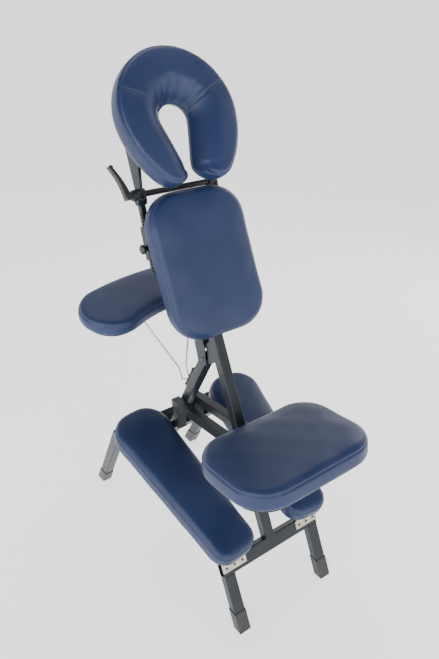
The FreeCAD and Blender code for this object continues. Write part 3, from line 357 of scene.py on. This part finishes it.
def inflate(blocks, frames=20, passes=40):
    """Swells the blocks together as cloth under air pressure, their undersides held.

    No point moves further than SWELL.
    """
    starts = [positions(block.data) for block in blocks]
    for block, start in zip(blocks, starts):
        held = block.vertex_groups.new(name="Held")
        held.add([int(i) for i in np.nonzero(start[:, 2] < 0.004)[0]], 1.0, "REPLACE")
        cloth = block.modifiers.new("Cloth", "CLOTH")
        cloth.settings.quality = 4
        cloth.settings.vertex_group_mass = "Held"
        cloth.settings.use_pressure = True
        cloth.settings.uniform_pressure_force = 4
        cloth.settings.effector_weights.gravity = 0
        cloth.point_cache.frame_end = frames
    for number in range(1, frames + 1):
        scene.frame_set(number)
    for block, start in zip(blocks, starts):
        swollen = evaluated_mesh(block)
        moved = positions(swollen) - start
        length = np.maximum(np.linalg.norm(moved, axis=1)[:, None], 1e-9)
        moved = evened(block.data, moved * (SWELL * np.tanh(length / SWELL) / length), passes)
        block.modifiers.clear()
        set_positions(block.data, start + moved)
    scene.frame_set(1)


def refine(block):
    divide = block.modifiers.new("Divide", "SUBSURF")
    divide.levels = divide.render_levels = 1
    block.data = evaluated_mesh(block)
    block.modifiers.clear()
    block.vertex_groups.clear()


def on_surface(tree, line):
    """The line's points moved to the nearest surface, with the surface normal at each."""
    found = [tree.find_nearest(Vector(point)) for point in line]
    return np.array([f[0] for f in found]), np.array([f[1] for f in found])


def surface_tree(mesh):
    return BVHTree.FromPolygons([v.co for v in mesh.vertices], [p.vertices for p in mesh.polygons])


def distances(points, line):
    """Distance of each point from the nearest point of the line."""
    tree = KDTree(len(line))
    for i, point in enumerate(line):
        tree.insert(point, i)
    tree.balance()
    return np.array([tree.find(point)[2] for point in points])


def sink(mesh, line, depth, width, lip=0.15):
    """Presses a groove along the line into the mesh, with a low lip on each side of it."""
    points = positions(mesh)
    away = distances(points, line) / width
    shape = np.exp(-away ** 2) - lip * np.exp(-(away - 2.2) ** 2 * 1.4)
    normals = vectors(mesh.vertex_normals, "vector")
    set_positions(mesh, points - normals * (depth * shape)[:, None])


def stitches(name, line, normals, beside, pitch=0.0062, long=0.0042, thick=0.0005):
    """A row of sewn thread beside the line, each stitch a small spindle."""
    gone = np.concatenate([[0], np.cumsum(np.linalg.norm(np.diff(line, axis=0), axis=1))])
    points, faces = [], []
    for mark in np.arange(pitch, gone[-1] - pitch, pitch):
        here, ahead, out = (np.array([np.interp(at, gone, source[:, k]) for k in range(3)])
                            for at, source in ((mark, line), (mark + 0.001, line), (mark, normals)))
        along = (ahead - here) / np.linalg.norm(ahead - here)
        across = np.cross(along, out)
        first = len(points)
        middle = here + across * beside + out * thick * 0.4
        points.append(middle - along * long / 2 - out * thick)
        for share in (-0.25, 0.25):
            for corner in range(6):
                angle = math.radians(60 * corner)
                ring = across * math.cos(angle) + out * math.sin(angle)
                points.append(middle + along * long * share + ring * thick)
        points.append(middle + along * long / 2 - out * thick)
        for i in range(6):
            j = (i + 1) % 6
            faces.append((first, first + 1 + j, first + 1 + i))
            faces.append((first + 1 + i, first + 1 + j, first + 7 + j, first + 7 + i))
            faces.append((first + 7 + i, first + 7 + j, first + 13))
    mesh = bpy.data.meshes.new(name)
    mesh.from_pydata([tuple(p) for p in points], [], faces)
    return mesh


def upholster(block, name, node, body, place, seams):
    """Seams and sewing on a swollen block, which then stands in for its CAD node."""
    refine(block)
    mesh = block.data
    sewn = []
    for seam in seams:
        path, _ = on_surface(surface_tree(mesh), seam.line)
        sink(mesh, path, seam.depth, seam.width)
        sewn.append((path, seam.beside))
    tree = surface_tree(mesh)
    for polygon in mesh.polygons:
        polygon.use_smooth = True
    block.name = name
    block.matrix_world = place
    put_on(block, "navy_leather", body)
    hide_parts(node)
    for number, (path, beside) in enumerate(sewn):
        if beside is None:
            continue
        path, normals = on_surface(tree, path)
        sewing = stitches(name, path, normals, beside)
        thread = add_object("%s_thread_%d" % (name, number), sewing)
        thread.matrix_world = place
        put_on(thread, "thread", body)


def put_on(thing, slot, body):
    """Covers the thing in one finish and lets it move with the body."""
    thing.data.materials.clear()
    thing.data.materials.append(finishes[slot])
    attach(thing, body)


def placing(x, y, z, turn_x, turn_z=0):
    """Placement at a point, leaning about X and turned about its own Z, in degrees."""
    return (Matrix.Translation((x, y + CENTRING, z)) @ Matrix.Rotation(math.radians(turn_x), 4, "X")
            @ Matrix.Rotation(math.radians(turn_z), 4, "Z"))


def edge_seam(plan, height):
    """Boxing seam round a pad at one height."""
    ring = level_ring(plan, 0.001, height)
    return Seam(np.vstack([ring, ring[:1]]), depth=0.0022, width=0.0026, beside=0.0040)


def add_upholstery():
    seat, chest = slab_plan(0.410, 0.283, 0.096), slab_plan(0.287, 0.381, 0.090)
    knee, arm, cradle = knee_plan(), arm_plan(), cradle_plan()
    pads = {
        "seat": foam_block("SeatFoam", seat, thick=0.053, edge=0.018),
        "chest": foam_block("ChestFoam", chest, thick=0.048, edge=0.018),
        "knee": foam_block("KneeFoam", knee, thick=0.049, edge=0.018),
        "arm": foam_block("ArmFoam", arm, thick=0.043, edge=0.017),
        "cradle": foam_block("CradleFoam", cradle, thick=0.073, edge=0.014, belly=0.020),
    }
    roll_inwards(pads["cradle"].data, cradle)
    inflate(list(pads.values()))
    for pad in pads.values():
        crown(pad.data)

    knee_twin = add_object("KneeFoamTwin", pads["knee"].data.copy())
    upholster(pads["seat"], "seat_cushion", "seat_pad", "seat_frame",
              placing(0, -0.3038, 0.4970, -6.4), [edge_seam(seat, 0.0425)])
    upholster(pads["chest"], "chest_cushion", "chest_pad", "rear_frame",
              placing(0, 0.0546, 0.9048, 64.8), [edge_seam(chest, 0.0375)])
    for thing, (side, sign) in zip((knee_twin, pads["knee"]), SIDES):
        base = placing(sign * 0.126, -0.267, 0.192, 21, -sign * 5.8)
        upholster(thing, "knee_cushion_" + side, "knee_pad_" + side, "knee_" + side,
                  base @ Matrix.Translation((0, 0, 0.014)), [edge_seam(knee, 0.0385)])
    upholster(pads["arm"], "arm_cushion", "arm_pad", "arm_rest",
              placing(0, 0.223, 0.737, 12.5) @ Matrix.Translation((0, 0, 0.011)),
              [edge_seam(arm, 0.0330)])
    gathers(pads["cradle"].data)
    upholster(pads["cradle"], "cradle_cushion", "cradle_pad", "face_cradle",
              placing(0, 0.199, 1.227, 59.6) @ Matrix.Translation((0, 0, 0.008)),
              cradle_seams(cradle))


def crown(mesh):
    """Domes the pad's top by up to SWELL, with the slow unevenness of hand-laid foam."""
    points = positions(mesh)
    low, high = points.min(0), points.max(0)
    share = (points - low) / (high - low)
    top = np.clip(share[:, 2] * 1.4 - 0.4, 0, 1)
    swell = np.sin(math.pi * share[:, 0]) * np.sin(math.pi * share[:, 1])
    ripple = 0.0005 * np.sin(points[:, 0] * 61 + 1.3) * np.cos(points[:, 1] * 53 + 0.4)
    points[:, 2] += top * (SWELL * swell + ripple)
    set_positions(mesh, points)


def mouth_corner(plan, sign):
    """Number of the plan's point nearest to the mouth's corner on one side."""
    return int(np.argmin(np.hypot(plan[:, 0] - sign * MOUTH[0], plan[:, 1] - MOUTH[1])))


def face_hole(plan):
    """The stretch of the cradle's plan that bounds the face opening and the mouth below it."""
    from_left = np.roll(plan, -mouth_corner(plan, -1), axis=0)
    return from_left[:mouth_corner(from_left, 1) + 1]


def roll_inwards(mesh, plan):
    """Lets the top of the cradle fall away towards the face opening."""
    points = positions(mesh)
    away = distances(points * (1, 1, 0), [(x, y, 0) for x, y in face_hole(plan)])
    reach, drop = 0.064, 0.60
    share = np.clip(1 - away / reach, 0, 1)
    points[:, 2] *= 1 - drop * share ** 2.1
    set_positions(mesh, points)


def cradle_seams(plan):
    """Boxing seam round the outside of the face cradle and two cross seams at its crown."""
    outer = np.roll(inset(plan, 0.0045), -mouth_corner(plan, 1), axis=0)
    end = mouth_corner(outer, -1)
    ring = np.column_stack([outer[:end], np.full(end, 0.069)])
    seams = [Seam(ring, depth=0.0026, width=0.0032, beside=0.0042)]
    for _, sign in SIDES:
        line = np.linspace((sign * 0.146, 0.072, 0.072), (sign * 0.044, 0.026, 0.034), 34)
        seams.append(Seam(line, depth=0.0028, width=0.0030, beside=None))
    return seams


def gathers(mesh):
    """Pleats that run from the cradle's opening up over its crown."""
    for angle in np.linspace(30, 150, 9):
        turn = math.radians(angle + dice.uniform(-3, 3))
        aim = np.array((math.cos(turn), math.sin(turn)))
        reach = dice.uniform(0.020, 0.042)
        centre = np.array((0, THROAT[1]))
        line = np.array([(*(centre + aim * (0.038 + reach * t)), 0.034 + 0.036 * t)
                         for t in np.linspace(0, 1, 12)])
        path, _ = on_surface(surface_tree(mesh), line)
        sink(mesh, path, dice.uniform(0.0012, 0.0026), dice.uniform(0.0045, 0.0065), lip=0.4)


# --- finish -----------------------------------------------------------------------------------

add_camera()
finishes = add_finishes()
add_studio()
for thing in nodes.values():
    for place in thing.material_slots:
        place.material = finishes[place.material.name.split(".")[0]]
add_upholstery()

bpy.context.view_layer.update()
